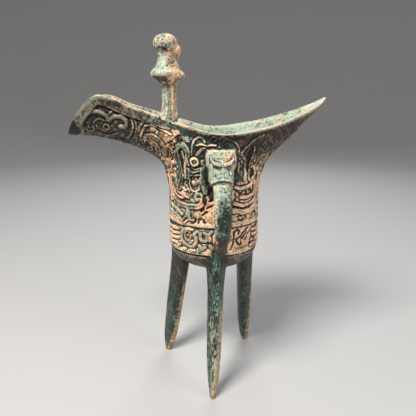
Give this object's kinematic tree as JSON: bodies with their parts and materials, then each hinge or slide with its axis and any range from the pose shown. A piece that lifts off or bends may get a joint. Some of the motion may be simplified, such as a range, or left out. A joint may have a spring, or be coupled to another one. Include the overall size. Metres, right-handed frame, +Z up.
{
  "type": "bronze drinking cup",
  "caption": "Cast bronze wine cup on tall splayed legs, with a long pouring spout, a pointed tail, capped posts, a strap handle with an animal mask, and carved bands.",
  "frame": {"origin": "on the floor, at the middle of the cup's plan box", "axes": "+Z up, -X along the spout, +X along the tail, -Y towards the side with the handle"},
  "size_m": [0.1478, 0.0744, 0.2053],
  "materials": {
    "bronze_cup": "cast bronze with dark green and pale green patina and tan soil, a soft gloss"
  },
  "bodies": {
    "root": {"bronze_cup": "bronze_cup"}
  },
  "joints": []
}
